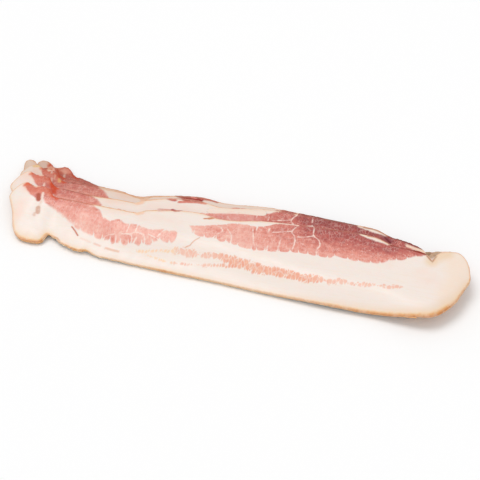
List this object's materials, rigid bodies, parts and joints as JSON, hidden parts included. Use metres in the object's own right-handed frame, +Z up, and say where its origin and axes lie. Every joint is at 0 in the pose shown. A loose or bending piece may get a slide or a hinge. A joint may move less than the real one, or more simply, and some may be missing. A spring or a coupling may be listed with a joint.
{
  "type": "sliced slab bacon",
  "caption": "Shingled stack of thin streaky bacon rashers cut from one smoked slab: pale fat, pink lean streaks, a tan rind edge and rounded ends.",
  "frame": {"origin": "centre of the stack's box in X and Y, on the surface it rests on", "axes": "+X along the rashers towards their rounded plain end, +Y from the rind edge to the meat edge, +Z up"},
  "size_m": [0.2618, 0.0761, 0.0127],
  "materials": {
    "rasher_1": "moist, softly glossy",
    "rasher_2": "moist, softly glossy",
    "rasher_3": "moist, softly glossy",
    "rasher_4": "moist, softly glossy",
    "rasher_5": "moist, softly glossy"
  },
  "bodies": {
    "root": {"rasher_1": "rasher_1", "rasher_2": "rasher_2", "rasher_3": "rasher_3", "rasher_4": "rasher_4", "rasher_5": "rasher_5"}
  },
  "joints": []
}
